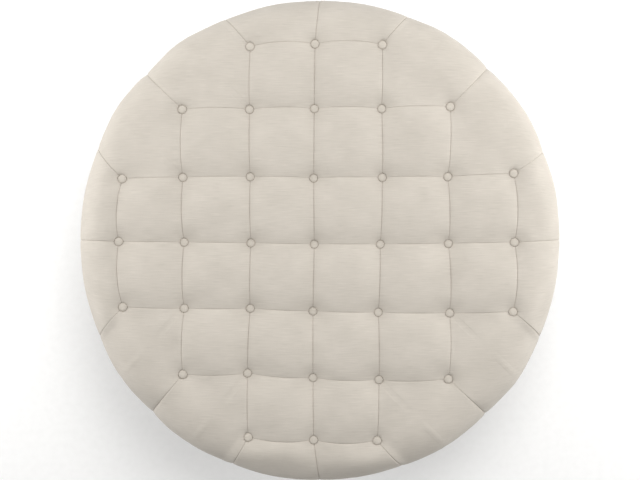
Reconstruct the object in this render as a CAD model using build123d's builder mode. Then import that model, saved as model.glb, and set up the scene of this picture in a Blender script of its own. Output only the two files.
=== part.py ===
from build123d import *
import os
from math import atan2, cos, degrees, hypot, pi, sin

os.makedirs("parts", exist_ok=True)

# A round ottoman coffee table: a drum-shaped wooden frame on four square tapered legs, under a thick pad
# whose cloth cover is tufted in squares by 37 buttons. Millimetres, +Z up, origin on the floor at the centre.
# The front of the ottoman looks along -Y.

# Heights, from the floor up, and the radius of the frame. The pad stands out over the frame all round.
glide_h = 5
leg_h = 145
apron_h = 140
pad_h = 167
frame_r = 478
pad_overhang = 35
rim_r = frame_r + pad_overhang
ring_z = glide_h + leg_h
deck_top_z = ring_z + apron_h
pad_top_z = deck_top_z + pad_h

# Room left beside curved or soft pieces, and how far cuts run past what they cut
fit = 0.3
overrun = 20

# Frame
ring_t = 18
ring_w = 133
deck_t = 18
deck_proud = 2
skin_t = 4
post_count = 8
post_w = 70
post_t = 38
bearer_t = 22
block_w = 90
block_h = 40
ring_top_z = ring_z + ring_t
block_top_z = ring_top_z + block_h
deck_z = deck_top_z - deck_t
frame_gap_h = deck_z - ring_top_z
deck_r = frame_r + deck_proud
skin_r = frame_r + fit + skin_t

# Legs and their fixings. Small round pieces and their bores have a few flat sides, to keep the model light.
leg_count = 4
leg_inset = 73
leg_place_r = frame_r - leg_inset
leg_top_w = 58
leg_foot_w = 34
leg_edge_w = 4
glide_r = 13
glide_sides = 12
bore_sides = 6
bolt_r = 4
bolt_in_leg = 45
bore_play = 0.3
nut_flange_r = 13
nut_flange_t = 2
nut_barrel_r = 6
nut_barrel_h = 12

# Cloth
band_t = 1.5
band_top_gap = 1
hem_w = 32
dust_t = 0.8
dust_lap = 16
dust_leg_gap = 2
welt_r = 4
welt_sides = 4
band_in_r = skin_r + fit
band_out_r = band_in_r + band_t
hem_in_r = band_out_r - hem_w

# Foam and wadding
foam_h = 106
wadding_t = 14
channel_w = 8
slit_w = 4
foam_top_z = deck_top_z + foam_h
wadding_top_z = foam_top_z + wadding_t

# Tufts: the grid of buttons, the arched seams between them and the crown of each stuffed square
row_reach = {3: 1, 2: 2, 1: 3, 0: 3, -1: 3, -2: 2, -3: 1}
edge_w = 111
pitch = (rim_r - edge_w) / max(row_reach)
grid_x = -9
grid_y = -6
seam_rise = 16
crown_rise = 14
seam_z = pad_top_z - crown_rise
pit_z = seam_z - seam_rise
square_strips = 4

# Rim panels, seen in section, and how the pleats between them sink
cover_floor_z = deck_top_z + fit
shoulder_r = 52
shoulder_side = 3
side_bulge = 9
rim_tuck = 22
panel_drop = 6
pleat_drop = 12
pleat_dip = 6
panel_crown = 9
pleat_crown = 1
seam_step = 1
panel_strips = 4
panel_chords = 3
side_chords = 3

# Buttons, twines and toggles
button_r = 9.5
button_face_r = 7.6
button_foot_r = 1.8
button_seat_h = 3.3
button_under_h = 5
button_edge_h = 1.8
button_sides = 8
twine_w = 2
hole_r = 4
toggle_l = 26
toggle_w = 6
toggle_h = 5
twine_top_z = pit_z + button_seat_h

# How far each button is drawn off the square grid, as shares of the pitch, row by row from the back
sideways_shares = {
    3: [0.01, -0.01, 0.01],
    2: [-0.02, 0, -0.02, 0, 0.04],
    1: [0.07, -0.01, 0.01, -0.03, 0.01, 0, 0],
    0: [0.02, 0.01, 0.02, -0.02, -0.02, 0.01, 0.01],
    -1: [0.08, 0.01, 0.01, -0.04, -0.05, 0.03, -0.01],
    -2: [-0.01, -0.03, -0.04, -0.04, 0.01],
    -3: [-0.02, -0.03, -0.07],
}
lengthways_shares = {
    3: [-0.03, 0.01, 0],
    2: [0.02, 0.02, 0.03, 0.03, 0.06],
    1: [-0.03, -0.01, 0, -0.02, -0.01, 0, 0.05],
    0: [0.02, 0.01, 0, -0.02, -0.02, -0.01, 0.01],
    -1: [0.03, 0.01, 0.01, -0.03, -0.05, -0.06, -0.04],
    -2: [0.01, 0.03, -0.04, -0.07, -0.06],
    -3: [0.06, 0.02, 0.01],
}


def finish(piece, name):
    """Labels a finished piece and writes it to its own file."""
    piece.part.label = name
    export_step(piece.part, "parts/" + name + ".step")


def button_places():
    """Plan places of the buttons, keyed by their column and row on the square grid."""
    places = {}
    for row, reach in row_reach.items():
        for step, column in enumerate(range(-reach, reach + 1)):
            x = grid_x + (column + sideways_shares[row][step]) * pitch
            y = grid_y + (row + lengthways_shares[row][step]) * pitch
            places[(column, row)] = (x, y)
    return places


buttons = button_places()
button_spots = list(buttons.values())
leg_places = [place.position for place in PolarLocations(leg_place_r, leg_count, start_angle=45)]
leg_spots = [(place.X, place.Y) for place in leg_places]


# Wooden base ring, with a bore for each hanger bolt
with BuildPart() as base_ring:
    with BuildSketch(Plane.XY.offset(ring_z)):
        Circle(frame_r)
        Circle(frame_r - ring_w, mode=Mode.SUBTRACT)
        with Locations(*leg_spots):
            RegularPolygon(bolt_r + bore_play, bore_sides, mode=Mode.SUBTRACT)
    extrude(amount=ring_t)
finish(base_ring, "base_ring")

# Plywood deck that carries the pad, drilled for the twines
with BuildPart() as deck:
    with BuildSketch(Plane.XY.offset(deck_z)):
        Circle(deck_r)
        with Locations(*button_spots):
            RegularPolygon(hole_r, bore_sides, mode=Mode.SUBTRACT)
    extrude(amount=deck_t)
finish(deck, "deck")

# Upright posts between the ring and the deck, rounded outside to the frame
post_turn = 360 / post_count
for number in range(post_count):
    turn = post_turn * (number + 1 / 2)
    with BuildPart() as post:
        with BuildSketch(Plane.XY.offset(ring_top_z).rotated((0, 0, turn))):
            with Locations((frame_r - post_t / 2, 0)):
                Rectangle(post_t, post_w)
            Circle(frame_r, mode=Mode.INTERSECT)
        extrude(amount=frame_gap_h)
    finish(post, "post_" + str(number + 1))

# Two bearers on edge under the deck, midway between rows of twines, their ends rounded to the frame
for side, name in ((-1, "bearer_left"), (1, "bearer_right")):
    with BuildPart() as bearer:
        with BuildSketch(Plane.XY.offset(ring_top_z)):
            with Locations((grid_x + side * pitch / 2, 0)):
                Rectangle(bearer_t, 2 * frame_r)
            Circle(frame_r, mode=Mode.INTERSECT)
        extrude(amount=frame_gap_h)
    finish(bearer, name)

# Brace that keeps the bearers apart
with BuildPart() as bearer_brace:
    with BuildSketch(Plane.XY.offset(ring_top_z)):
        with Locations((grid_x, grid_y + pitch / 2)):
            Rectangle(pitch - bearer_t, bearer_t)
    extrude(amount=frame_gap_h)
finish(bearer_brace, "bearer_brace")

# Bent board that closes the side of the frame
with BuildPart() as side_skin:
    with BuildSketch(Plane.XY.offset(ring_z)):
        Circle(skin_r)
        Circle(frame_r + fit, mode=Mode.SUBTRACT)
    extrude(amount=deck_z - ring_z)
finish(side_skin, "side_skin")

# Square tapered legs with chamfered edges, each under its own block, named by the corner they stand in
corners = ("back_right", "back_left", "front_left", "front_right")
for corner, (x, y) in zip(corners, leg_spots):
    with BuildPart() as leg:
        for along, mode in ((Vector(1, 1, 0), Mode.ADD), (Vector(1, -1, 0), Mode.INTERSECT)):
            with BuildSketch(Plane(origin=(x, y, 0), x_dir=along, z_dir=along.cross(Vector(0, 0, 1)))):
                Polygon(
                    (-leg_foot_w / 2, glide_h),
                    (leg_foot_w / 2, glide_h),
                    (leg_top_w / 2, ring_z),
                    (-leg_top_w / 2, ring_z),
                    align=None,
                )
            extrude(amount=leg_top_w, both=True, mode=mode)
        chamfer(leg.edges().filter_by(lambda edge: abs(edge.tangent_at(0).Z) > 1 / 2), leg_edge_w)
        with BuildSketch(Plane((x, y, ring_z))):
            RegularPolygon(bolt_r + bore_play, bore_sides)
        extrude(amount=-(bolt_in_leg + bore_play), mode=Mode.SUBTRACT)
    finish(leg, "leg_" + corner)

    with BuildPart() as leg_block:
        with BuildSketch(Plane((x, y, ring_top_z)).rotated((0, 0, 45))):
            Rectangle(block_w, block_w)
        extrude(amount=block_h)
        with BuildSketch(Plane((x, y, ring_top_z))):
            RegularPolygon(bolt_r + bore_play, bore_sides)
        extrude(amount=block_h, mode=Mode.SUBTRACT)
        with BuildSketch(Plane((x, y, block_top_z))):
            RegularPolygon(nut_barrel_r + bore_play, bore_sides)
        extrude(amount=-(nut_barrel_h + bore_play), mode=Mode.SUBTRACT)
    finish(leg_block, "leg_block_" + corner)

# Hanger bolts, from inside each leg up through the ring and its block
with BuildPart() as hanger_bolts:
    with BuildSketch(Plane.XY.offset(ring_z - bolt_in_leg)):
        with Locations(*leg_spots):
            RegularPolygon(bolt_r, bore_sides)
    extrude(amount=bolt_in_leg + ring_t + block_h + nut_flange_t)
finish(hanger_bolts, "hanger_bolts")

# Tee nuts, each a flange on top of its block with a barrel let into it
with BuildPart() as tee_nuts:
    with BuildSketch(Plane.XY.offset(block_top_z)):
        with Locations(*leg_spots):
            RegularPolygon(nut_flange_r, bore_sides)
    extrude(amount=nut_flange_t)
    with BuildSketch(Plane.XY.offset(block_top_z - nut_barrel_h)):
        with Locations(*leg_spots):
            RegularPolygon(nut_barrel_r, bore_sides)
    extrude(amount=nut_barrel_h)
    with BuildSketch(Plane.XY.offset(block_top_z - nut_barrel_h)):
        with Locations(*leg_spots):
            RegularPolygon(bolt_r + bore_play, bore_sides)
    extrude(amount=nut_barrel_h + nut_flange_t, mode=Mode.SUBTRACT)
finish(tee_nuts, "tee_nuts")

# Nylon glides that the legs stand on
with BuildPart() as glides:
    with BuildSketch():
        with Locations(*leg_spots):
            RegularPolygon(glide_r, glide_sides)
    extrude(amount=glide_h)
finish(glides, "glides")

# Cloth of the side, pulled down over the skin and turned under the ring
with BuildPart() as side_band:
    with BuildSketch(Plane.XZ):
        Polygon(
            (band_in_r, ring_z),
            (band_in_r, cover_floor_z - band_top_gap),
            (band_out_r, cover_floor_z - band_top_gap),
            (band_out_r, ring_z - band_t),
            (hem_in_r, ring_z - band_t),
            (hem_in_r, ring_z),
            align=None,
        )
    revolve(axis=Axis.Z)
finish(side_band, "side_band")

# Piping between the side band and the pad
welt_place_r = band_out_r + fit + welt_r
with BuildPart() as welt:
    with BuildSketch(Plane.XZ):
        with Locations((welt_place_r, cover_floor_z - fit - welt_r)):
            RegularPolygon(welt_r, welt_sides)
    revolve(axis=Axis.Z)
finish(welt, "welt")

# Black cloth under the base, cut out round the legs
with BuildPart() as dust_cover:
    with BuildSketch(Plane.XY.offset(ring_z - band_t - dust_t)):
        Circle(hem_in_r + dust_lap)
        with Locations(*leg_spots):
            Rectangle(leg_top_w + dust_leg_gap, leg_top_w + dust_leg_gap, rotation=45, mode=Mode.SUBTRACT)
    extrude(amount=dust_t)
finish(dust_cover, "dust_cover")

# Foam core on the deck, with a channel for each twine
with BuildPart() as foam_core:
    with BuildSketch(Plane.XY.offset(deck_top_z)):
        Circle(deck_r)
        with Locations(*button_spots):
            Rectangle(channel_w, channel_w, mode=Mode.SUBTRACT)
    extrude(amount=foam_h)
finish(foam_core, "foam_core")

# Wadding laid over the foam, parted round each twine
with BuildPart() as wadding:
    with BuildSketch(Plane.XY.offset(foam_top_z)):
        Circle(deck_r)
        with Locations(*button_spots):
            Rectangle(slit_w, slit_w, mode=Mode.SUBTRACT)
    extrude(amount=wadding_t)
finish(wadding, "wadding")


def between(a, b, share):
    """The plan point at a share of the way from a to b."""
    return (a[0] + (b[0] - a[0]) * share, a[1] + (b[1] - a[1]) * share)


def arch(share, low, rise):
    """Height at a share of the way along an arch that rises from low to its middle."""
    return low + rise * 4 * share * (1 - share)


def upright_plane(a, b):
    """The upright plane through plan points a and b, with its X axis from a to b."""
    along = Vector(b[0] - a[0], b[1] - a[1], 0).normalized()
    return Plane(origin=(a[0], a[1], 0), x_dir=along, z_dir=along.cross(Vector(0, 0, 1)))


def square_section(near_left, near_right, far_right, far_left, share):
    """One upright section of a stuffed square, from its left seam to its right seam."""
    left = between(near_left, far_left, share)
    right = between(near_right, far_right, share)
    width = hypot(right[0] - left[0], right[1] - left[1])
    edge_z = arch(share, pit_z, seam_rise)
    middle_z = arch(share, seam_z, crown_rise)
    with BuildSketch(upright_plane(left, right)) as section:
        with BuildLine():
            Polyline((0, edge_z), (0, foam_top_z), (width, foam_top_z), (width, edge_z))
            ThreePointArc((0, edge_z), (width / 2, middle_z), (width, edge_z))
        make_face()
    return section.sketch


def square_sections():
    """Sections of every stuffed square whose four corners are buttons, one list for each square."""
    squares = []
    for column, row in buttons:
        keys = ((column, row), (column + 1, row), (column + 1, row + 1), (column, row + 1))
        if all(key in buttons for key in keys):
            corners = [buttons[key] for key in keys]
            shares = [step / square_strips for step in range(square_strips + 1)]
            squares.append([square_section(*corners, share) for share in shares])
    return squares


def bowed(a, b, rise, chords):
    """Points of a line from a to b that bows out to one side by rise, in a few chords."""
    across = (b[1] - a[1], a[0] - b[0])
    reach = rise / hypot(*across)
    points = []
    for step in range(chords + 1):
        bow = arch(step / chords, 0, reach)
        x, z = between(a, b, step / chords)
        points.append((x - across[0] * bow, z - across[1] * bow))
    return points


def rim_section(start, start_z, rim_angle, crown_share):
    """One upright section of a rim panel, from its inner seam out and down over the rim of the pad."""
    reach = rim_r - pleat_dip * (1 - crown_share)
    end = (reach * cos(rim_angle), reach * sin(rim_angle))
    length = hypot(end[0] - start[0], end[1] - start[1])
    inner = (0, start_z - seam_step)
    shoulder = (length - shoulder_side - shoulder_r, pad_top_z - panel_drop - pleat_drop * (1 - crown_share))
    side = (length - shoulder_side, shoulder[1] - shoulder_r)
    turn = shoulder_r * cos(pi / 4)
    hem = (length - rim_tuck, cover_floor_z)
    crown = pleat_crown + (panel_crown - pleat_crown) * crown_share
    with BuildSketch(upright_plane(start, end)) as section:
        with BuildLine():
            Polyline(hem, (0, cover_floor_z), inner)
            Polyline(*bowed(inner, shoulder, crown, panel_chords))
            ThreePointArc(shoulder, (shoulder[0] + turn, side[1] + turn), side)
            Polyline(*bowed(side, hem, side_bulge, side_chords))
        make_face()
    return section.sketch


# Outer buttons in order round the rim, anticlockwise from the right: each starts a pleat
outer_keys = (
    (3, 0), (3, 1), (2, 2), (1, 3), (0, 3), (-1, 3), (-2, 2), (-3, 1),
    (-3, 0), (-3, -1), (-2, -2), (-1, -3), (0, -3), (1, -3), (2, -2), (3, -1),
)


def panel_sections():
    """Sections of the rim panels between the pleats, one list for each seam that a panel starts from."""
    panels = []
    for number, first in enumerate(outer_keys):
        second = outer_keys[(number + 1) % len(outer_keys)]
        path = [first, second]
        if first[0] != second[0] and first[1] != second[1]:
            path.insert(1, (min(first[0], second[0], key=abs), min(first[1], second[1], key=abs)))
        seams = len(path) - 1
        steps = panel_strips // seams
        for seam in range(seams):
            sections = []
            for step in range(steps + 1):
                start = between(buttons[path[seam]], buttons[path[seam + 1]], step / steps)
                across_share = (seam + step / steps) / seams
                rim_angle = 2 * pi * (number + across_share) / len(outer_keys)
                start_z = arch(step / steps, pit_z, seam_rise)
                sections.append(rim_section(start, start_z, rim_angle, arch(across_share, 0, 1)))
            panels.append(sections)
    return panels


# Stuffed squares and rim panels, joined along their seams
with BuildPart() as squares:
    for sections in square_sections():
        loft(sections, ruled=True)
with BuildPart() as rim_panels:
    for sections in panel_sections():
        loft(sections, ruled=True)

# Tufted cover: squares and rim panels in one cloth, hollow over the wadding, with a skirt that is pulled
# down over the edge of the deck and a slit for each twine
with BuildPart() as top_cover:
    add(squares.part)
    add(rim_panels.part)
    with BuildSketch(Plane.XY.offset(deck_z + fit)):
        Circle(skin_r)
    extrude(amount=deck_t + overrun)
    with BuildSketch(Plane.XY.offset(deck_z)):
        Circle(deck_r + fit)
    extrude(amount=wadding_top_z - deck_z, mode=Mode.SUBTRACT)
    with BuildSketch(Plane.XY.offset(wadding_top_z)):
        with Locations(*button_spots):
            Rectangle(slit_w, slit_w)
    extrude(amount=pad_top_z - wadding_top_z, mode=Mode.SUBTRACT)
finish(top_cover, "top_cover")

# One covered button about the plane of its rim: drawn in below to the twine, and eased off above
with BuildPart() as one_button:
    with BuildSketch():
        RegularPolygon(button_r, button_sides)
    extrude(amount=button_under_h, taper=degrees(atan2(button_r - button_foot_r, button_under_h)))
    mirror(about=Plane.XY, mode=Mode.REPLACE)
    with BuildSketch():
        RegularPolygon(button_r, button_sides)
    extrude(amount=button_edge_h, taper=degrees(atan2(button_r - button_face_r, button_edge_h)))

# Covered buttons, drawn down into the pits where four squares meet
with BuildPart() as cover_buttons:
    with Locations(*[(x, y, twine_top_z + button_under_h) for x, y in button_spots]):
        add(one_button.part)
finish(cover_buttons, "buttons")

# Tufting twines, from the buttons down to the toggles under the deck
with BuildPart() as twines:
    with BuildSketch(Plane.XY.offset(deck_z)):
        with Locations(*button_spots):
            Rectangle(twine_w, twine_w)
    extrude(amount=twine_top_z - deck_z)
finish(twines, "tufting_twines")

# Toggle bars that the twines are tied to, tight under the deck
with BuildPart() as toggles:
    with BuildSketch(Plane.XY.offset(deck_z - toggle_h)):
        with Locations(*button_spots):
            Rectangle(toggle_w, toggle_l)
    extrude(amount=toggle_h)
finish(toggles, "twine_toggles")
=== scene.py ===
import math
import random

import bmesh
import bpy
import numpy as np
from mathutils import Matrix, Vector, noise
from mathutils.geometry import delaunay_2d_cdt


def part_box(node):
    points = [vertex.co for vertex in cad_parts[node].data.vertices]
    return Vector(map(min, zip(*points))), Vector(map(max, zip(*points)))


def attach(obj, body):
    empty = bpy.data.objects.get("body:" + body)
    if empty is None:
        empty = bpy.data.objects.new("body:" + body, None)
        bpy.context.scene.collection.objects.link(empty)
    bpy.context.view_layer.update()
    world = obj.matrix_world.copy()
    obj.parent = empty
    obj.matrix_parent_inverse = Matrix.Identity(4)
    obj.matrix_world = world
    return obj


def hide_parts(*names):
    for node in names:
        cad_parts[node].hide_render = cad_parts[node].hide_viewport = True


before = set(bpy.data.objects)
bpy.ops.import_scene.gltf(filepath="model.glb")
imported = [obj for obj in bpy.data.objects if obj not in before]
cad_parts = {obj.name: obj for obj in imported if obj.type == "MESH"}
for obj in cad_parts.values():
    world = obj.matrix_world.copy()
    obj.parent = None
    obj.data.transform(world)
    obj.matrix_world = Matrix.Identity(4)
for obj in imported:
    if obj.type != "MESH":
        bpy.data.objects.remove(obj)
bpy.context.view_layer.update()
scene = bpy.context.scene
scene.view_settings.view_transform = "Standard"

# Camera: straight above the middle of the ottoman, as in the photograph, with the ottoman's back at the top
# of the picture.
camera_height = 2.431
camera_data = bpy.data.cameras.new("camera")
camera_data.lens = 55.35
camera_data.sensor_width = 36
camera_data.clip_start = 0.05
camera = bpy.data.objects.new("camera", camera_data)
camera.location = (0, 0, camera_height)
scene.collection.objects.link(camera)
scene.camera = camera

# Studio light: a soft box high over the back of the ottoman, a panel near each side, and pale
# surroundings. The front gets the least light, and no lamp shows in any view.
cushion_middle = Vector((0, 0, 0.4))
surroundings_strength = 0.49


def soft_lamp(name, place, size, power, colour):
    """A square soft box that faces the middle of the cushion."""
    lamp_data = bpy.data.lights.new(name, "AREA")
    lamp_data.shape = "SQUARE"
    lamp_data.size = size
    lamp_data.energy = power
    lamp_data.color = colour
    lamp = bpy.data.objects.new(name, lamp_data)
    lamp.location = place
    lamp.rotation_euler = (cushion_middle - Vector(place)).to_track_quat("-Z", "Y").to_euler()
    lamp.visible_camera = False
    scene.collection.objects.link(lamp)


soft_lamp("key_lamp", place=(0.3, 1.05, 2.9), size=1.2, power=34.5, colour=(1, 0.995, 0.985))
soft_lamp("right_panel", place=(2.2, 0.5, 1.05), size=1.35, power=35.5, colour=(1, 0.997, 0.995))
soft_lamp("left_panel", place=(-2.2, 0.5, 1.05), size=1.35, power=33.5, colour=(1, 0.997, 0.995))
world = bpy.data.worlds.new("studio")
world.use_nodes = True
world.node_tree.nodes["Background"].inputs["Color"].default_value = (1, 1, 1, 1)
world.node_tree.nodes["Background"].inputs["Strength"].default_value = surroundings_strength
scene.world = world


# Studio floor: one pale matt sheet with a faint grain, which the glides stand on. It reaches well past the
# ottoman on every side.
def new_material(name, roughness):
    """A node material: the material, its nodes, its links and its shader."""
    material = bpy.data.materials.new(name)
    material.use_nodes = True
    nodes = material.node_tree.nodes
    nodes["Principled BSDF"].inputs["Roughness"].default_value = roughness
    return material, nodes, material.node_tree.links, nodes["Principled BSDF"]


def grain(nodes, links, source, scale, detail):
    """Noise stretched along the axes of a coordinate output."""
    mapping = nodes.new("ShaderNodeMapping")
    mapping.inputs["Scale"].default_value = scale
    texture = nodes.new("ShaderNodeTexNoise")
    texture.inputs["Scale"].default_value = 1
    texture.inputs["Detail"].default_value = detail
    links.new(source, mapping.inputs["Vector"])
    links.new(mapping.outputs["Vector"], texture.inputs["Vector"])
    return texture.outputs["Fac"]


def ramp(nodes, links, factor, stops):
    """Colours at stops along a factor."""
    node = nodes.new("ShaderNodeValToRGB")
    edges = node.color_ramp.elements
    while len(edges) < len(stops):
        edges.new(0.5)
    for edge, (position, colour) in zip(edges, stops):
        edge.position = position
        edge.color = (*colour, 1)
    links.new(factor, node.inputs["Fac"])
    return node.outputs["Color"]


def bumped(nodes, links, shader, height, distance, strength, under=None):
    """Gives the shader a bump of a depth in metres, over another bump where there is one."""
    node = nodes.new("ShaderNodeBump")
    node.inputs["Strength"].default_value = strength
    node.inputs["Distance"].default_value = distance
    links.new(height, node.inputs["Height"])
    if under:
        links.new(under, node.inputs["Normal"])
    links.new(node.outputs["Normal"], shader.inputs["Normal"])
    return node.outputs["Normal"]


def grained(name, roughness, scale, detail, stops, bump_depth=0, bump_strength=0, metallic=0):
    """A material whose colour, and relief where it has one, follow one grain through the whole piece."""
    material, nodes, links, shader = new_material(name, roughness)
    place = nodes.new("ShaderNodeTexCoord").outputs["Object"]
    pattern = grain(nodes, links, place, scale, detail)
    links.new(ramp(nodes, links, pattern, stops), shader.inputs["Base Color"])
    if bump_depth:
        bumped(nodes, links, shader, pattern, bump_depth, bump_strength)
    shader.inputs["Metallic"].default_value = metallic
    return material


floor_reach = 9
floor_mesh = bpy.data.meshes.new("studio_floor")
floor_mesh.from_pydata([(-floor_reach, -floor_reach, 0), (floor_reach, -floor_reach, 0),
                        (floor_reach, floor_reach, 0), (-floor_reach, floor_reach, 0)], [], [(0, 1, 2, 3)])
floor = bpy.data.objects.new("studio_floor", floor_mesh)
scene.collection.objects.link(floor)
floor_mesh.materials.append(grained("studio_floor", roughness=0.9, scale=(60, 60, 60), detail=3,
                                    stops=[(0.3, (0.93, 0.93, 0.925)), (0.7, (0.96, 0.96, 0.955))]))


# Tufted cover: one pale linen cloth over stuffed squares and the thick rounded rim of the pad. It is drawn
# down by the buttons, folded into a narrow seam between each pair of them, and pleated from the outer
# buttons over the rim down to the piping, where it is stapled to the edge of the deck.
def new_piece(name, mesh, material, slot, *replaced):
    """A smooth-shaded piece of the ottoman, which stands for CAD nodes."""
    piece = bpy.data.objects.new(name, mesh)
    scene.collection.objects.link(piece)
    mesh.materials.append(material)
    mesh.shade_smooth()
    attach(piece, "root")
    if replaced:
        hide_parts(*replaced)
    return piece


# The middle of each button, by its column and row from the middle one
button_reach = 0.03
grid_x, grid_y = -0.009, -0.006
pitch = 0.134
clusters = []
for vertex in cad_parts["buttons"].data.vertices:
    for cluster in clusters:
        if (vertex.co - cluster[0]).xy.length < button_reach:
            cluster.append(vertex.co)
            break
    else:
        clusters.append([vertex.co])
centres = [np.mean([(p.x, p.y) for p in cluster], axis=0) for cluster in clusters]
spots = {(round((x - grid_x) / pitch), round((y - grid_y) / pitch)): np.array((x, y)) for x, y in centres}
spot_table = np.array(list(spots.values()))

# The pad's low dome and the wells in it. The dome's drop and the seams' bow are as given at tufted_r from
# the middle, and less nearer to it.
crown_z = 0.4545
tufted_r = 0.4
dome_drop = 0.004
well_floor_z = 0.4372
well_r = 0.056
well_curve = 2.2
well_steepness = 0.3
throat_depth = 0.0060
throat_r = 0.0085
throat_fall = 14

# The seams and the stuffed squares between them
seam_dip = 0.0055
seam_bow = 0.0055
square_fullness = 0.8

# The rim, from the top over its roll and down to the piping, and the pleats in it
rim_r = 0.5078
rim_mid_z = 0.352
rim_low_z = 0.2903
rim_roll = 0.105
rim_tuck = 0.020
tuck_curve = 1.8
rim_fullness = 2.25
least_flat = 0.004
flat_steps, roll_steps, drop_steps = 40, 80, 50
pleat_dip = 0.0065
pleat_drop = 0.006
panel_fullness = 0.7

outer_keys = [(3, 0), (3, 1), (2, 2), (1, 3), (0, 3), (-1, 3), (-2, 2), (-3, 1),
              (-3, 0), (-3, -1), (-2, -2), (-1, -3), (0, -3), (1, -3), (2, -2), (3, -1)]
pleat_strength = {(3, 0): 0.8, (3, 1): 0.7, (2, 2): 0.6, (1, 3): 0.9, (0, 3): 1, (-1, 3): 0.95,
                  (-2, 2): 0.6, (-3, 1): 1, (-3, 0): 0.9, (-3, -1): 0.6, (-2, -2): 0.6, (-1, -3): 0.95,
                  (0, -3): 1, (1, -3): 0.9, (2, -2): 0.75, (3, -1): 1.1}
# How far each pleat's foot stands off its even place round the rim, in degrees, where it stands off
pleat_lean = {(3, 1): -0.9, (2, 2): 0.7, (1, 3): 0.9, (-1, 3): 0.8, (-2, 2): 1.3, (-3, -1): 1.2,
              (-2, -2): 0.7, (-1, -3): 1.1, (1, -3): -2.4, (2, -2): -1.3, (3, -1): -1.3}

# Each well is steepest on the side away from the middle, and towards the back
steep_r = 0.5
back_pull = 0.6
least_back_pull = 0.25
steep_ways = spot_table / steep_r + (0, back_pull)
steep_ways[:, 1] = np.maximum(steep_ways[:, 1], least_back_pull)
steep_ways /= np.linalg.norm(steep_ways, axis=1, keepdims=True)


def hump(share):
    """A rounded arch: 0 at both ends of a share from 0 to 1, and 1 in the middle."""
    return 1 - np.abs(2 * np.asarray(share, float) - 1) ** 2


def dome_height(plan):
    """Height of the pad's low dome at plan points, before the buttons draw it down."""
    return crown_z - dome_drop * (np.linalg.norm(plan, axis=-1) / tufted_r) ** 2


def well(plan):
    """How deep the cloth is drawn down at plan points, in a well round each button."""
    offsets = plan[..., None, :] - spot_table
    gaps = np.linalg.norm(offsets, axis=-1)
    towards = (offsets * steep_ways).sum(axis=-1) / np.maximum(gaps, 1e-6)
    reach = (gaps * (1 + well_steepness * towards)).min(axis=-1)
    slope = (dome_height(plan) - well_floor_z) * np.clip(1 - reach / well_r, 0, 1) ** well_curve
    return slope + throat_depth * np.exp(-(gaps.min(axis=-1) / throat_r) ** throat_fall)


def top_height(plan):
    """Height of the pad's top at plan points."""
    return dome_height(plan) - well(plan)


def seam_line(a, b, shares):
    """Points of the seam between two buttons: it bows away from the middle of the pad."""
    a, b = spots[a], spots[b]
    shares = np.asarray(shares, float)
    across = np.array((-(b - a)[1], (b - a)[0])) / np.linalg.norm(b - a)
    outward = np.dot((a + b) / 2, across)
    bow = seam_bow * np.sign(outward) * (abs(outward) / tufted_r) ** 2
    plan = a + shares[:, None] * (b - a) + across * (bow * hump(shares))[:, None]
    return np.column_stack((plan, top_height(plan) - seam_dip))


def square_surface(column, row, us, vs):
    """Points of one stuffed square, between the four seams round it."""
    front = seam_line((column, row), (column + 1, row), us)
    back = seam_line((column, row + 1), (column + 1, row + 1), us)
    left = seam_line((column, row), (column, row + 1), vs)
    right = seam_line((column + 1, row), (column + 1, row + 1), vs)
    u, v = us[:, None, None], vs[None, :, None]
    points = (1 - v) * front[:, None] + v * back[:, None] + (1 - u) * left[None] + u * right[None]
    points -= (1 - u) * ((1 - v) * left[0] + v * left[-1]) + u * ((1 - v) * right[0] + v * right[-1])
    fullness = (hump(us)[:, None] * hump(vs)[None, :]) ** square_fullness
    points[:, :, 2] = top_height(points[:, :, :2]) - seam_dip * (1 - fullness)
    return points


def run_along(line):
    """The distance along a line of points, at each of them."""
    return np.concatenate(([0], np.cumsum(np.linalg.norm(np.diff(line, axis=0), axis=1))))


def rim_section(start, along, length, share, downs):
    """One section of a rim panel in its upright plane: over the roll of the rim and down to the piping."""
    level = crown_z - dome_drop - pleat_drop * (1 - share)
    roll = min(length - least_flat, rim_roll)
    flat_run = np.linspace(0, length - roll, flat_steps)[:-1]
    flat = np.column_stack((flat_run, np.full(len(flat_run), level)))
    turn = np.linspace(0, math.pi / 2, roll_steps)
    over = np.column_stack((length - roll + roll * np.sin(turn) ** (2 / rim_fullness),
                            rim_mid_z + (level - rim_mid_z) * np.cos(turn) ** (2 / rim_fullness)))
    drop = np.linspace(0, 1, drop_steps)[1:]
    under = np.column_stack((length - rim_tuck * drop ** tuck_curve,
                             rim_mid_z + (rim_low_z - rim_mid_z) * drop))
    line = np.vstack((flat, over, under))
    cloth = run_along(line)
    drawn = well(start[:2] + line[:, :1] * along)
    fade = np.clip(1 - line[:, 0] / well_r, 0, 1) ** well_curve
    line[:, 1] += (start[2] + drawn[0] - line[0, 1]) * fade - drawn
    run = run_along(line)
    at = downs * run[-1]
    slope = np.gradient(line, run, axis=0)
    points = np.column_stack((np.interp(at, run, line[:, 0]), np.interp(at, run, line[:, 1])))
    normals = np.column_stack((-np.interp(at, run, slope[:, 1]), np.interp(at, run, slope[:, 0])))
    return points, normals, np.interp(at, run, cloth)


def pleats_of(number):
    """The two outer buttons whose pleats bound a rim panel."""
    return outer_keys[number], outer_keys[(number + 1) % len(outer_keys)]


def is_straight(number):
    """Whether a rim panel starts from one seam, and not from two that meet at a corner."""
    first, second = pleats_of(number)
    return first[0] == second[0] or first[1] == second[1]


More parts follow.
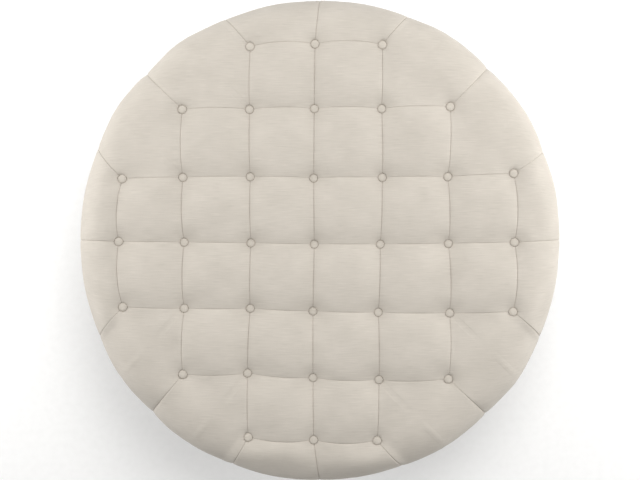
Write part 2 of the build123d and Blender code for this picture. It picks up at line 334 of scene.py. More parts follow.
def panel_surface(number, alongs, downs):
    """Points, outward normals and flat cloth places of a rim panel, from its seams down to the piping."""
    first, second = pleats_of(number)
    path = [first, second]
    if not is_straight(number):
        path.insert(1, (min(first[0], second[0], key=abs), min(first[1], second[1], key=abs)))
    seams = len(path) - 1
    points = np.zeros((len(alongs), len(downs), 3))
    normals, cloth = np.zeros_like(points), np.zeros_like(points)
    for index, s in enumerate(alongs):
        seam = min(int(s * seams), seams - 1)
        start = seam_line(path[seam], path[seam + 1], [s * seams - seam])[0]
        share = float(hump(s) ** panel_fullness)
        lean = (1 - s) * pleat_lean.get(first, 0) + s * pleat_lean.get(second, 0)
        angle = 2 * math.pi * (number + s) / len(outer_keys) + math.radians(lean)
        end = (rim_r - pleat_dip * (1 - share)) * np.array((math.cos(angle), math.sin(angle)))
        along = end - start[:2]
        length = np.linalg.norm(along)
        along /= length
        line, tilt, run = rim_section(start, along, length, share, downs)
        points[index, :, :2] = start[:2] + line[:, :1] * along
        points[index, :, 2] = line[:, 1]
        normals[index, :, :2] = tilt[:, :1] * along
        normals[index, :, 2] = tilt[:, 1]
        cloth[index, :, :2] = start[:2] + run[:, None] * along
    return points, normals, cloth


def doubled(shares):
    """Lines across a panel that starts from two seams."""
    return np.concatenate((shares / 2, 0.5 + shares[1:] / 2))


squares = [(c, r) for c, r in spots if all(k in spots for k in ((c + 1, r), (c, r + 1), (c + 1, r + 1)))]


def cover_grids(seam_shares, downs):
    """Point grids of all the squares, then of all the rim panels."""
    grids = [square_surface(column, row, seam_shares, seam_shares) for column, row in squares]
    panels = [panel_surface(number, seam_shares if is_straight(number) else doubled(seam_shares), downs)
              for number in range(len(outer_keys))]
    return grids, panels


# Points that agree to a hundredth of a millimetre are one. The shift keeps round values off the halfway
# marks of the rounding.
weld_digits = 5
weld_shift = 1e-7


def weld(grids):
    """Joins point grids along their shared edges: the points, the faces, and which point each one became."""
    faces, count = [], 0
    for points in grids:
        wide, deep = points.shape[:2]
        index = count + np.arange(wide * deep).reshape(wide, deep)
        corners = (index[:-1, :-1], index[1:, :-1], index[1:, 1:], index[:-1, 1:])
        faces.append(np.stack(corners, axis=2).reshape(-1, 4))
        count += wide * deep
    places = np.concatenate([points.reshape(-1, 3) for points in grids])
    keys = np.round(places + weld_shift, weld_digits)
    _, kept, back = np.unique(keys, axis=0, return_index=True, return_inverse=True)
    back = back.reshape(-1)
    return places[kept], back[np.concatenate(faces)], kept, back


# The cloth is drawn tight in a simulation on a coarse mesh, held at the buttons, the seams and the hem,
# while the stuffing presses it out. The finer mesh below follows it.
coarse = np.linspace(0, 1, 17)
coarse_downs = np.linspace(0, 1, 25)
stuffing_pressure = 6
cloth_spare = 0.012
most_swell = 0.0055
button_hold_r = 0.013
swell_frames = 18
calming_rounds = 12


def settled(start_grids):
    """How far each grid point moves when the stuffing presses out the held cloth."""
    start, sim_faces, _, index = weld(start_grids)
    mesh = bpy.data.meshes.new("cloth_start")
    mesh.from_pydata(start.tolist(), [], sim_faces.tolist())
    sheet = bpy.data.objects.new("cloth_start", mesh)
    scene.collection.objects.link(sheet)
    own, offset = [], 0
    for points in start_grids:
        wide, deep = points.shape[:2]
        own.append(index[offset:offset + wide * deep].reshape(wide, deep))
        offset += wide * deep
    edge = np.zeros(len(start))
    for grid in own:
        edge[np.concatenate((grid[0], grid[-1], grid[:, 0], grid[:, -1]))] = 1
    near = np.linalg.norm(start[:, None, :2] - spot_table, axis=2).min(axis=1) < button_hold_r
    held = sheet.vertex_groups.new(name="held")
    held.add(np.flatnonzero((edge > 0) | near).tolist(), 1, "REPLACE")
    cloth_settings = sheet.modifiers.new("stuffing", "CLOTH").settings
    cloth_settings.quality = 6
    cloth_settings.mass = 0.35
    cloth_settings.tension_stiffness = 25
    cloth_settings.compression_stiffness = 12
    cloth_settings.shear_stiffness = 8
    cloth_settings.bending_stiffness = 0.4
    cloth_settings.vertex_group_mass = "held"
    cloth_settings.use_pressure = True
    cloth_settings.uniform_pressure_force = stuffing_pressure
    cloth_settings.shrink_min = -cloth_spare
    cloth_settings.effector_weights.gravity = 0
    for number in range(1, swell_frames + 1):
        scene.frame_set(number)
    mesh_now = sheet.evaluated_get(bpy.context.evaluated_depsgraph_get()).to_mesh()
    pressed = np.array([tuple(vertex.co) for vertex in mesh_now.vertices])
    scene.frame_set(1)
    bpy.data.objects.remove(sheet)
    move = pressed - start
    length = np.linalg.norm(move, axis=1, keepdims=True)
    move *= most_swell * np.tanh(length / most_swell) / np.maximum(length, 1e-9)
    moves = [move[grid] for grid in own]
    for grid in moves:
        for _ in range(calming_rounds):
            around = (grid[:-2, 1:-1] + grid[2:, 1:-1] + grid[1:-1, :-2] + grid[1:-1, 2:]) / 4
            grid[1:-1, 1:-1] = (grid[1:-1, 1:-1] + around) / 2
    return moves


def smooth_weights(shares, count):
    """Cubic weights that read values at evenly spaced knots at any shares between them."""
    weights = np.zeros((len(shares), count))
    for line, share in enumerate(shares):
        knot = min(int(share * (count - 1)), count - 2)
        t = share * (count - 1) - knot
        terms = ((-t + 2 * t * t - t ** 3) / 2, (2 - 5 * t * t + 3 * t ** 3) / 2,
                 (t + 4 * t * t - 3 * t ** 3) / 2, (t ** 3 - t * t) / 2)
        for step, term in zip((-1, 0, 1, 2), terms):
            weights[line, min(max(knot + step, 0), count - 1)] += term
    return weights


def carried(move, shares, downs):
    """The coarse cloth's movement, read at the lines of the finer mesh."""
    across = smooth_weights(shares, move.shape[0])
    along = smooth_weights(downs, move.shape[1])
    return np.einsum("ai,bj,ijk->abk", across, along, move)


coarse_squares, coarse_panels = cover_grids(coarse, coarse_downs)
moves = settled(coarse_squares + [points for points, _, _ in coarse_panels])

# Lines of the finer mesh, in metres from a seam: close at the fold, and again at the rim of a button. Down
# the rim of the pad they start as close, and then run evenly to the hem.
fold_lines = (0, 0.0004, 0.0008, 0.0014, 0.0028, 0.0046, 0.0056, 0.0062, 0.0069, 0.0077, 0.0083, 0.0088,
              0.0094, 0.0104, 0.0135, 0.0185, 0.0245, 0.0315, 0.0390, 0.0480, 0.0575, 0.0670)
half = np.array(fold_lines) / pitch
fine = np.concatenate((half, 1 - half[-2::-1]))
close_lines, even_lines = 14, 39
close_share = 0.7
near_downs = half[:close_lines] * close_share
fine_downs = np.concatenate((near_downs[:-1], np.linspace(near_downs[-1], 1, even_lines)))

# The seams folded into the cover: those that run across fade out at their ends
fold_depth = 0.0015
fold_half_w = 0.0006
fold_curve = 1.6
level_seam_share = 0.6
level_seam_fade = 0.35
pleat_turn_share = 0.25


def fold(distance):
    """How deep the narrow fold of a seam is at a distance from it."""
    return fold_depth * np.exp(-(np.abs(distance) / fold_half_w) ** fold_curve)


square_grids, panels = cover_grids(fine, fine_downs)
grids, cloths, plain_grids = [], [], []
side_gap = np.minimum(fine, 1 - fine) * pitch
seam_fade = hump(fine) ** level_seam_fade
for points, move in zip(square_grids, moves):
    plain_grids.append(points.copy())
    cloths.append(points.copy())
    points += carried(move, fine, fine)
    upright = np.repeat(fold(side_gap)[:, None], len(fine), axis=1)
    level = level_seam_share * fold(side_gap)[None, :] * seam_fade[:, None]
    points[:, :, 2] -= np.maximum(upright, level)
    grids.append(points)
for number, (points, normals, cloth) in enumerate(panels):
    plain_grids.append(points.copy())
    lines = fine if is_straight(number) else doubled(fine)
    points += carried(moves[len(squares) + number], lines, fine_downs)
    widths = np.linalg.norm(np.diff(points, axis=0), axis=2)
    run = np.concatenate((np.zeros((1, len(fine_downs))), np.cumsum(widths, axis=0)))
    first, second = (pleat_strength[key] for key in pleats_of(number))
    depth = first * fold(run) + second * fold(run[-1] - run)
    from_seam = np.linalg.norm(points - points[:, :1], axis=2)
    depth = np.maximum(depth, fold(from_seam))
    turn = np.clip(fine_downs / pleat_turn_share, 0, 1)[None, :, None]
    points -= depth[:, :, None] * (turn * normals + (1 - turn) * np.array((0, 0, 1)))
    grids.append(points)
    cloths.append(cloth)

# The unfolded grids say which points are one and the same, and each takes the middle of its folded places
_, faces, kept, back = weld(plain_grids)
shared = np.bincount(back)
folded = np.concatenate([points.reshape(-1, 3) for points in grids])
places = np.column_stack([np.bincount(back, folded[:, axis]) / shared for axis in range(3)])
cloth_places = np.concatenate([c.reshape(-1, 3) for c in cloths])[kept]
cloth_places[:, 2] = 0

# The hem turns in under the pad, and the cover closes over the wadding and down its side
deck_play = 0.0008
wadding_play = 0.0003
lining_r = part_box("deck")[1].x + deck_play
lining_top_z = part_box("wadding")[1].z + wadding_play
edges = np.sort(np.concatenate([faces[:, [k, (k + 1) % 4]] for k in range(4)]), axis=1)
edge_keys, uses = np.unique(edges, axis=0, return_counts=True)
hem = np.unique(edge_keys[uses == 1])
hem = hem[np.argsort(np.arctan2(places[hem, 1], places[hem, 0]))]
inward = places[hem, :2] / np.linalg.norm(places[hem, :2], axis=1, keepdims=True)
tucked = np.column_stack((lining_r * inward, places[hem, 2]))
lining = np.column_stack((lining_r * inward, np.full(len(hem), lining_top_z)))
first_tucked = len(places)
places = np.vstack((places, tucked, lining, (0, 0, lining_top_z)))
cloth_places = np.vstack((cloth_places, tucked, lining, (0, 0, 0)))
step = np.arange(len(hem))
after = np.roll(step, -1)
under, inner = first_tucked + step, first_tucked + len(hem) + step
turned_in = np.column_stack((hem[step], under, under[after], hem[after]))
side = np.column_stack((under, inner, inner[after], under[after]))
middle = len(places) - 1
cover_faces = faces.tolist() + turned_in.tolist() + side.tolist()
cover_faces += [(int(a), middle, int(b)) for a, b in zip(inner, inner[after])]
cover_mesh = bpy.data.meshes.new("tufted_cover")
cover_mesh.from_pydata(places.tolist(), [], cover_faces)
build = bmesh.new()
build.from_mesh(cover_mesh)
bmesh.ops.recalc_face_normals(build, faces=build.faces[:])
build.to_mesh(cover_mesh)
build.free()


def lay_weave(mesh, cloth_points):
    """Keeps each vertex's place on the flat cloth, so that the weave runs with the cloth."""
    layer = mesh.attributes.new("weave", "FLOAT_VECTOR", "POINT")
    layer.data.foreach_set("vector", np.asarray(cloth_points, np.float32).reshape(-1))


lay_weave(cover_mesh, cloth_places)


def scaled_sum(nodes, links, share, part, rest):
    """A share of one value, added to another."""
    node = nodes.new("ShaderNodeMath")
    node.operation = "MULTIPLY_ADD"
    node.inputs[1].default_value = share
    links.new(part, node.inputs[0])
    links.new(rest, node.inputs[2])
    return node.outputs[0]


def linen(name, dark, light):
    """Plain-woven linen: slubs along the weft and the warp, a few thick threads, and the fine weave."""
    material, nodes, links, shader = new_material(name, roughness=0.88)
    weave = nodes.new("ShaderNodeAttribute")
    weave.attribute_name = "weave"
    cloth = weave.outputs["Vector"]
    weft = grain(nodes, links, cloth, scale=(30, 430, 1), detail=2)
    warp = grain(nodes, links, cloth, scale=(420, 40, 1), detail=1)
    broad = grain(nodes, links, cloth, scale=(13, 17, 1), detail=3)
    uneven = grain(nodes, links, cloth, scale=(36, 520, 1), detail=0)
    thick_threads = ramp(nodes, links, uneven, [(0.26, (0, 0, 0)), (0.38, (0.12, 0.12, 0.12)),
                                                (0.62, (0.12, 0.12, 0.12)), (0.74, (0.24, 0.24, 0.24))])
    woven = scaled_sum(nodes, links, share=0.22, part=warp, rest=weft)
    slubbed = scaled_sum(nodes, links, share=0.3, part=woven, rest=thick_threads)
    tone = scaled_sum(nodes, links, share=0.55, part=broad, rest=slubbed)
    links.new(ramp(nodes, links, tone, [(0.36, dark), (0.76, light)]), shader.inputs["Base Color"])
    threads = nodes.new("ShaderNodeTexChecker")
    threads.inputs["Scale"].default_value = 1400
    links.new(cloth, threads.inputs["Vector"])
    under = bumped(nodes, links, shader, threads.outputs["Fac"], distance=0.00012, strength=0.5)
    bumped(nodes, links, shader, woven, distance=0.0002, strength=0.3, under=under)
    shader.inputs["Sheen Weight"].default_value = 0.08
    shader.inputs["Sheen Roughness"].default_value = 0.6
    shader.inputs["Specular IOR Level"].default_value = 0.25
    return material


cover_linen = linen("cover_linen", dark=(0.492, 0.454, 0.399), light=(0.575, 0.531, 0.471))
cover = new_piece("tufted_cover", cover_mesh, cover_linen, "linen", "top_cover")


# Covered buttons: metal shells, one at each crossing, each with the same linen drawn tight over its domed
# face and rolled round its rim. The shank below takes the twine.
def spoke(radius, angle):
    """The plan point at a radius and an angle."""
    return radius * math.cos(angle), radius * math.sin(angle)


def skin(build, rings):
    """Faces that join rings of vertices, from the first to the last, and close both ends."""
    for low, high in zip(rings, rings[1:]):
        for step in range(len(low)):
            after = (step + 1) % len(low)
            build.faces.new((low[step], low[after], high[after], high[step]))
    build.faces.new(rings[-1])
    build.faces.new(rings[0][::-1])


def finished(name, build):
    """The mesh that was built."""
    mesh = bpy.data.meshes.new(name)
    build.to_mesh(mesh)
    build.free()
    return mesh


# Each button tips by a few degrees, and its cloth is turned by up to half a radian
dice = random.Random(37)
button_tilt = 3
button_twist = 0.5
button_sides = 24
button_pivot_h = 0.004
button_foot_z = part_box("buttons")[0].z
button_outline = [(0.0018, 0), (0.0050, 0.0014), (0.0084, 0.0024), (0.0091, 0.0031), (0.0090, 0.0039),
                  (0.0086, 0.0049), (0.0081, 0.0058), (0.0073, 0.0066), (0.0060, 0.0072), (0.0040, 0.0076),
                  (0.0014, 0.0078)]
build = bmesh.new()
button_cloth = []
for x, y in spot_table:
    tip = Matrix.Rotation(math.radians(dice.uniform(-button_tilt, button_tilt)), 3, "X")
    tip = tip @ Matrix.Rotation(math.radians(dice.uniform(-button_tilt, button_tilt)), 3, "Y")
    twist = dice.uniform(-button_twist, button_twist)
    pivot = Vector((x, y, button_foot_z + button_pivot_h))
    rings = []
    for radius, height in button_outline:
        ring = []
        for step in range(button_sides):
            angle = 2 * math.pi * step / button_sides
            local = tip @ Vector((*spoke(radius, angle), height - button_pivot_h))
            ring.append(build.verts.new(local + pivot))
            cloth_x, cloth_y = spoke(radius, angle + twist)
            button_cloth.append((cloth_x + x, cloth_y + y, 0))
        rings.append(ring)
    skin(build, rings)
button_mesh = finished("covered_buttons", build)
lay_weave(button_mesh, button_cloth)
button_linen = linen("button_linen", dark=(0.515, 0.474, 0.414), light=(0.584, 0.539, 0.474))
new_piece("covered_buttons", button_mesh, button_linen, "linen_button", "buttons")


# Piping: a cotton cord in a strip of the linen that is cut on the bias. It is sewn in between the pad and
# the side band, and joined at the back.
def turned(name, outline, steps, closed, weave_of):
    """A mesh turned round the middle of the ottoman from an outline of (radius, height) points."""
    points, cloth, faces = [], [], []
    count = len(outline)
    for step in range(steps):
        angle = 2 * math.pi * step / steps
        for index, (radius, height) in enumerate(outline):
            points.append((*spoke(radius, angle), height))
            cloth.append(weave_of(angle, index))
    for step in range(steps):
        here, there = step * count, (step + 1) % steps * count
        for index in range(count if closed else count - 1):
            other = (index + 1) % count
            faces.append((here + index, there + index, there + other, here + other))
    mesh = bpy.data.meshes.new(name)
    mesh.from_pydata(points, [], faces)
    lay_weave(mesh, cloth)
    return mesh


welt_steps, welt_sides = 480, 14
welt_r, cad_welt_r = 0.0039, 0.004
strip_step = 0.0017
bias_share = 0.7
welt_low, welt_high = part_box("welt")
welt_ring_r = welt_high.x - cad_welt_r
welt_z = (welt_low.z + welt_high.z) / 2
welt_outline = []
for number in range(welt_sides):
    out, up = spoke(welt_r, 2 * math.pi * number / welt_sides)
    welt_outline.append((welt_ring_r + out, welt_z + up))


def bias_place(angle, index):
    """The place on the bias strip, whose threads run aslant to the cord."""
    along, across = angle * welt_ring_r, index * strip_step
    return bias_share * (along + across), bias_share * (along - across), 0


welt_mesh = turned("piping", welt_outline, welt_steps, True, bias_place)
new_piece("piping", welt_mesh, cover_linen, "linen", "welt")

# Side band: the linen of the drum's side, pulled tight over the bent board, turned under the base ring and
# stapled there. Its two ends are sewn together at the back.
band_steps = 360
band_low, band_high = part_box("side_band")
band_r = band_high.x
top_ease = 0.0005
# The tight cloth waves a little on its way down, at steps below its upper edge
wave, waves, wave_top, wave_step = 0.0004, 11, 0.004, 0.0131
# How far in and up from the lower corner the cloth lies as it turns under the ring
turn_under = [(0.0006, 0.0022), (0.0022, 0.0006), (0.006, 0.0003), (0.018, 0.0005), (0.032, 0.0004)]
band_outline = [(band_r - top_ease, band_high.z)]
band_outline += [(band_r - wave * math.sin(k), band_high.z - wave_top - wave_step * k)
                 for k in range(waves)]
band_outline += [(band_r - inward, band_low.z + up) for inward, up in turn_under]
down = run_along(np.array(band_outline))


def band_place(angle, index):
    """The place on the flat strip of the band."""
    return angle * band_r, -down[index], 0


band_mesh = turned("linen_side_band", band_outline, band_steps, False, band_place)
band = new_piece("linen_side_band", band_mesh, cover_linen, "linen", "side_band")

# Black dust cover: thin nonwoven cloth over the open underside, cut round the legs and stapled to the ring
# over the hem of the side band.
leg_corners = ("back_right", "back_left", "front_left", "front_right")
leg_spots = []
for corner in leg_corners:
    low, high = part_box("leg_" + corner)
    leg_spots.append(Vector(((low.x + high.x) / 2, (low.y + high.y) / 2)))
hole_half = 0.031
hole_reach = hole_half * math.sqrt(2)


def clear_of_legs(point, margin):
    """Whether a point lies further than a margin outside the square hole of each leg."""
    offsets = [point.xy - spot for spot in leg_spots]
    return all(abs(offset.x) + abs(offset.y) > hole_reach + margin for offset in offsets)


def closed_loop(first, count):
    """The edges that join points into a ring, from the first on."""
    return [(first + k, first + (k + 1) % count) for k in range(count)]


dust_low, dust_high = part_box("dust_cover")
dust_r = dust_high.x
rim_steps, hole_side_steps = 180, 5
dust_spacing, dust_margin = 0.011, 0.006
cut_slack = 0.0005
# The cloth sags and ripples away from its stapled edge
dust_lift, dust_sag, dust_ripple = 0.0003, 0.0018, 0.0016
sag_curve = 6
broad_ripples, small_ripples = 7, 18
broad_slice, small_slice = 0.4, 2
small_share = 0.5
plan_points = [Vector(spoke(dust_r, 2 * math.pi * k / rim_steps)) for k in range(rim_steps)]
rims = closed_loop(0, rim_steps)
for centre in leg_spots:
    rims += closed_loop(len(plan_points), 4 * hole_side_steps)
    hole = [centre + hole_reach * Vector(spoke(1, math.radians(90 * turn))) for turn in range(5)]
    for a, b in zip(hole, hole[1:]):
        plan_points += [a + (b - a) * step / hole_side_steps for step in range(hole_side_steps)]
# The two middle lines of the cloth hold no points of their own
reach = int(dust_r / dust_spacing)
grid_lines = [k for k in range(-reach, reach + 1) if k]
for column in grid_lines:
    for line in grid_lines:
        point = Vector((column * dust_spacing, line * dust_spacing))
        if point.length < dust_r - dust_margin and clear_of_legs(point, dust_margin):
            plan_points.append(point)
flat_points, _, cut_faces = delaunay_2d_cdt(plan_points, rims, [], 0, 1e-6)[:3]
dust_faces = []
for face in cut_faces:
    middle = sum((flat_points[i] for i in face), Vector((0, 0))) / len(face)
    if clear_of_legs(middle, -cut_slack):
        dust_faces.append(face)
dust_points = []
for point in flat_points:
    slack = max(0.0, 1 - (point.length / dust_r) ** sag_curve)
    ripple = noise.noise(Vector((*(point * broad_ripples), broad_slice)))
    ripple += small_share * noise.noise(Vector((*(point * small_ripples), small_slice)))
    height = dust_low.z + dust_lift - slack * (dust_sag + dust_ripple * ripple)
    dust_points.append((point.x, point.y, height))
dust_mesh = bpy.data.meshes.new("black_dust_cover")
dust_mesh.from_pydata(dust_points, [], dust_faces)
black_cloth = grained("black_cloth", roughness=0.95, scale=(900, 900, 900), detail=4,
                      stops=[(0.3, (0.010, 0.010, 0.011)), (0.75, (0.034, 0.034, 0.036))],
                      bump_depth=0.0003, bump_strength=0.7)
dust = new_piece("black_dust_cover", dust_mesh, black_cloth, "black_cloth", "dust_cover")

# Staples that hold the dust cover's edge: fine galvanised wire, one every few centimetres, set a little
# unevenly by hand.
staple_count = 92
staple_half, staple_wire = 0.0052, 0.0005
crown_h = 1.6 * staple_wire
crown_ease = 0.3 * staple_wire
staple_inset = 0.009
inset_play, turn_play, step_play = 0.0015, 0.22, 0.18
build = bmesh.new()
for number in range(staple_count):
    angle = 2 * math.pi * (number + dice.uniform(-step_play, step_play)) / staple_count
    radius = dust_r - staple_inset + dice.uniform(-inset_play, inset_play)
    lean = angle + math.pi / 2 + dice.uniform(-turn_play, turn_play)
    middle = Vector((*spoke(radius, angle), dust_low.z - staple_wire))
    if clear_of_legs(middle, dust_margin):
        crown = bmesh.ops.create_cube(build, size=1)["verts"]
        bmesh.ops.scale(build, vec=(2 * staple_half, 2 * staple_wire, crown_h), verts=crown)
        bmesh.ops.rotate(build, cent=(0, 0, 0), matrix=Matrix.Rotation(lean, 3, "Z"), verts=crown)
        bmesh.ops.translate(build, vec=middle, verts=crown)
bmesh.ops.bevel(build, geom=build.edges[:], offset=crown_ease, segments=1, affect="EDGES")
staple_mesh = finished("dust_cover_staples", build)
zinc = grained("zinc_steel", roughness=0.38, scale=(420, 420, 420), detail=2,
               stops=[(0.3, (0.50, 0.50, 0.48)), (0.7, (0.68, 0.68, 0.66))],
               bump_depth=0.0001, bump_strength=0.3, metallic=1)
new_piece("dust_cover_staples", staple_mesh, zinc, "zinc_steel")


# Legs: four square tapered blocks of hardwood with eased edges, stained dark and lacquered. Each hangs on
# its hanger bolt under a corner block.
def wood(name, dark, light, roughness, along, coat=0.0):
    """Wood whose grain runs along one axis of the ottoman."""
    material, nodes, links, shader = new_material(name, roughness)
    place = nodes.new("ShaderNodeTexCoord").outputs["Object"]
    broad_scale, pore_scale = ([scale * share if axis == along else scale for axis in "XYZ"]
                               for scale, share in ((46, 0.10), (420, 0.035)))
    broad = grain(nodes, links, place, broad_scale, detail=3)
    pores = grain(nodes, links, place, pore_scale, detail=4)
    both = scaled_sum(nodes, links, share=0.35, part=pores, rest=broad)
    links.new(ramp(nodes, links, both, [(0.45, dark), (0.88, light)]), shader.inputs["Base Color"])
    bumped(nodes, links, shader, pores, distance=0.0003, strength=0.35)
    shader.inputs["Coat Weight"].default_value = coat
    shader.inputs["Coat Roughness"].default_value = 0.25
    return material


leg_stain = wood("stained_hardwood", dark=(0.028, 0.014, 0.008), light=(0.085, 0.042, 0.022),
                 roughness=0.42, along="Z", coat=0.35)
leg_ease = 0.0012
flat_angle, edge_angle = 0.02, 0.3
least_edge = 0.004
for corner in leg_corners:
    build = bmesh.new()
    build.from_mesh(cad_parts["leg_" + corner].data)
    bmesh.ops.remove_doubles(build, verts=build.verts[:], dist=1e-5)
    bmesh.ops.dissolve_limit(build, angle_limit=flat_angle, verts=build.verts[:], edges=build.edges[:])
    sharp = [e for e in build.edges if e.calc_face_angle(0) > edge_angle and e.calc_length() > least_edge]
    bmesh.ops.bevel(build, geom=sharp, offset=leg_ease, segments=2, affect="EDGES", profile=0.5)
    leg_mesh = finished("stained_leg_" + corner, build)
    new_piece("stained_leg_" + corner, leg_mesh, leg_stain, "leg_wood", "leg_" + corner)
    leg_mesh.shade_flat()

# Glides: black nylon discs with a rounded foot and a small nail hole. One is nailed into the end of each
# leg, so that the ottoman slides on the floor without marking it.
glide_sides = 32
glide_r, glide_h = 0.0125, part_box("glides")[1].z
glide_outline = [(0.0105, glide_h), (glide_r, glide_h - 0.0004), (glide_r + 0.0004, glide_h - 0.0020),
                 (glide_r, 0.0016), (glide_r - 0.0014, 0.0004), (glide_r - 0.0032, 0.0), (0.0035, 0.0),
                 (0.0030, 0.0010), (0.0008, 0.0012)]
build = bmesh.new()
for centre in leg_spots:
    rings = []
    for radius, height in glide_outline:
        offsets = [spoke(radius, 2 * math.pi * k / glide_sides) for k in range(glide_sides)]
        rings.append([build.verts.new((centre.x + x, centre.y + y, height)) for x, y in offsets])
    skin(build, rings)
bmesh.ops.recalc_face_normals(build, faces=build.faces[:])
glide_mesh = finished("nylon_glides", build)
nylon = grained("glide_nylon", roughness=0.45, scale=(300, 300, 900), detail=3,
                stops=[(0.35, (0.018, 0.018, 0.019)), (0.8, (0.05, 0.05, 0.052))],
                bump_depth=0.0001, bump_strength=0.4)
new_piece("nylon_glides", glide_mesh, nylon, "glide_nylon", "glides")


# Foam core: a thick disc of firm open-cell foam, sawn to the size of the deck and laid on it. A channel is
# cut through it for each twine.
def pierced_disc(name, low_z, high_z, radius, hole_r, ease, lift):
    """A disc with a hole for each twine and eased rims, its top moved by lift(place, gap to a twine)."""
    disc_steps, hole_steps, spacing = 160, 10, 0.018
    least_gap, rim_angle = 0.7 * spacing, 1
    points = [radius * Vector(spoke(1, 2 * math.pi * k / disc_steps)) for k in range(disc_steps)]
    rims = closed_loop(0, disc_steps)
    holes = [Vector(spot) for spot in spot_table]
    for hole in holes:
        rims += closed_loop(len(points), hole_steps)
        for reach in (hole_r, hole_r + 3 * ease):
            points += [hole + reach * Vector(spoke(1, 2 * math.pi * k / hole_steps))
                       for k in range(hole_steps)]

    def gap_to_hole(place):
        """The distance from a point to the middle of the nearest hole."""
        return min((place - hole).length for hole in holes)

    reach = int(radius / spacing)
    for column in range(-reach, reach + 1):
        for line in range(-reach, reach + 1):
            point = spacing * Vector((column, line))
            if point.length < radius - spacing / 2 and gap_to_hole(point) > least_gap:
                points.append(point)
    flat, _, faces = delaunay_2d_cdt(points, rims, [], 0, 1e-6)[:3]
    faces = [face for face in faces
             if gap_to_hole(sum((flat[i] for i in face), Vector((0, 0))) / len(face)) > 0.9 * hole_r]
    count = len(flat)
    corners = [(p.x, p.y, high_z) for p in flat] + [(p.x, p.y, low_z) for p in flat]
    bottom = [[i + count for i in reversed(face)] for face in faces]
    sides = {(face[k], face[(k + 1) % len(face)]) for face in faces for k in range(len(face))}
    walls = [(b, a, a + count, b + count) for a, b in sides if (b, a) not in sides]
    mesh = bpy.data.meshes.new(name)
    mesh.from_pydata(corners, [], faces + bottom + walls)
    build = bmesh.new()
    build.from_mesh(mesh)
    loose = [vertex for vertex in build.verts if not vertex.link_faces]
    bmesh.ops.delete(build, geom=loose, context="VERTS")
    rounded = [edge for edge in build.edges if edge.calc_face_angle(0) > rim_angle]
    bmesh.ops.bevel(build, geom=rounded, offset=ease, segments=3, affect="EDGES", profile=0.5)
    for vertex in build.verts:
        share = (vertex.co.z - low_z) / (high_z - low_z)
        vertex.co.z += lift(vertex.co, gap_to_hole(vertex.co.xy)) * share
    bmesh.ops.recalc_face_normals(build, faces=build.faces[:])
    build.to_mesh(mesh)
    build.free()
    return mesh


stuffing_play = 0.0005
foam_low, foam_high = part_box("foam_core")
foam_mesh = pierced_disc("foam_block", foam_low.z, foam_high.z, foam_high.x - stuffing_play,
                         hole_r=0.0040, ease=0.0012, lift=lambda place, gap: 0)
foam_cells, nodes, links, shader = new_material("foam", roughness=0.95)
place = nodes.new("ShaderNodeTexCoord").outputs["Object"]
cells = nodes.new("ShaderNodeTexVoronoi")
cells.inputs["Scale"].default_value = 900
links.new(place, cells.inputs["Vector"])
depth = cells.outputs["Distance"]
cell_colour = ramp(nodes, links, depth, [(0.05, (0.86, 0.79, 0.55)), (0.6, (0.70, 0.62, 0.38))])
links.new(cell_colour, shader.inputs["Base Color"])
bumped(nodes, links, shader, depth, distance=0.0004, strength=0.6)
foam = new_piece("foam_block", foam_mesh, foam_cells, "foam", "foam_core")
foam_mesh.shade_flat()

# Wadding: one layer of white polyester fluff laid over the foam. It is parted round each twine, where the
# button presses it down, and is soft and uneven elsewhere.
press_depth, press_r = 0.005, 0.016
fluff_h, fluff_scale = 0.0012, 22


def fluff_lift(place, gap):
    """How the fluff lies: pressed down round a twine, and uneven all over."""
    pressed = press_depth * math.exp(-(gap / press_r) ** 2)
    return -pressed - fluff_h + fluff_h * noise.noise(place * fluff_scale)


wadding_low, wadding_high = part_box("wadding")
wadding_mesh = pierced_disc("wadding_layer", wadding_low.z, wadding_high.z, wadding_high.x - stuffing_play,
                            hole_r=0.0022, ease=0.0030, lift=fluff_lift)
fluff = grained("wadding", roughness=1.0, scale=(260, 260, 260), detail=5,
                stops=[(0.3, (0.80, 0.80, 0.78)), (0.7, (0.93, 0.93, 0.92))],
                bump_depth=0.002, bump_strength=0.8)
wadding = new_piece("wadding_layer", wadding_mesh, fluff, "wadding", "wadding")

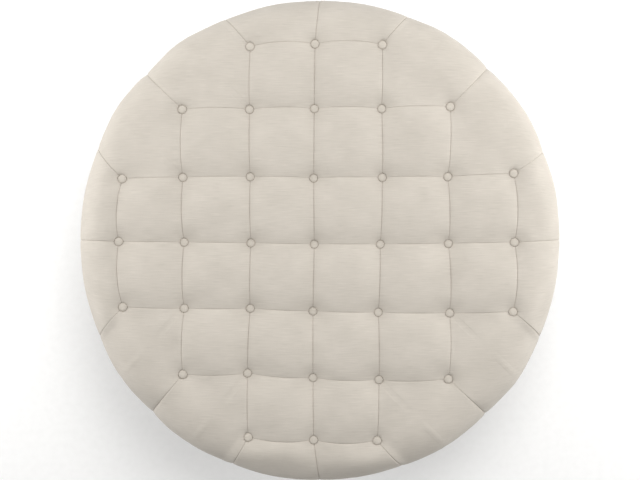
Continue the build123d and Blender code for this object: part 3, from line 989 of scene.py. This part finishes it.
# Tufting twines: waxed twine doubled through each button's shank, with the two plies twisted together. They
# are drawn down through the pad and the deck to a toggle bar.
twine_low, twine_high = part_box("tufting_twines")
ply_r, ply_reach, lay_length = 0.00055, 0.00045, 0.024
twine_steps, ply_sides = 60, 6
build = bmesh.new()
for x, y in spot_table:
    for ply in (0, math.pi):
        rings = []
        for step in range(twine_steps + 1):
            height = twine_low.z + (twine_high.z - twine_low.z) * step / twine_steps
            off_x, off_y = spoke(ply_reach, ply + 2 * math.pi * (height - twine_low.z) / lay_length)
            offsets = [spoke(ply_r, 2 * math.pi * k / ply_sides) for k in range(ply_sides)]
            rings.append([build.verts.new((x + off_x + a, y + off_y + b, height)) for a, b in offsets])
        skin(build, rings)
twine_mesh = finished("waxed_twines", build)
waxed = grained("twine", roughness=0.55, scale=(1500, 1500, 300), detail=3,
                stops=[(0.3, (0.62, 0.55, 0.42)), (0.7, (0.82, 0.76, 0.62))],
                bump_depth=0.0002, bump_strength=0.6)
new_piece("waxed_twines", twine_mesh, waxed, "twine", "tufting_twines")


# Frame: pine ring, posts, bearers and corner blocks, a plywood deck and a bent board round the side, with
# zinc-plated bolts and nuts and beech toggle bars. They keep their shapes from the CAD, and get the finish
# of the real pieces.
def dress(material, *names):
    """Gives carried-over CAD nodes their finish."""
    for name in names:
        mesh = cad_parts[name].data
        mesh.materials.clear()
        mesh.materials.append(material)


post_count = 8
post_names = ["post_%d" % number for number in range(1, post_count + 1)]
block_names = ["leg_block_" + corner for corner in leg_corners]
pine_dark, pine_light = (0.50, 0.33, 0.17), (0.74, 0.56, 0.34)
sawn = 0.6
dress(wood("pine_upright", pine_dark, pine_light, sawn, along="Z"), *post_names, *block_names)
dress(wood("pine_level", pine_dark, pine_light, sawn, along="Y"), "base_ring", "bearer_left", "bearer_right")
dress(wood("pine_cross", pine_dark, pine_light, sawn, along="X"), "bearer_brace")
dress(wood("plywood", (0.56, 0.40, 0.22), (0.74, 0.58, 0.37), sawn, along="X"), "deck")
dress(wood("bent_board", (0.40, 0.29, 0.17), (0.52, 0.40, 0.26), roughness=0.75, along="Z"), "side_skin")
dress(wood("beech", (0.60, 0.42, 0.25), (0.78, 0.60, 0.40), roughness=0.55, along="Y"), "twine_toggles")
dress(zinc, "hanger_bolts", "tee_nuts")
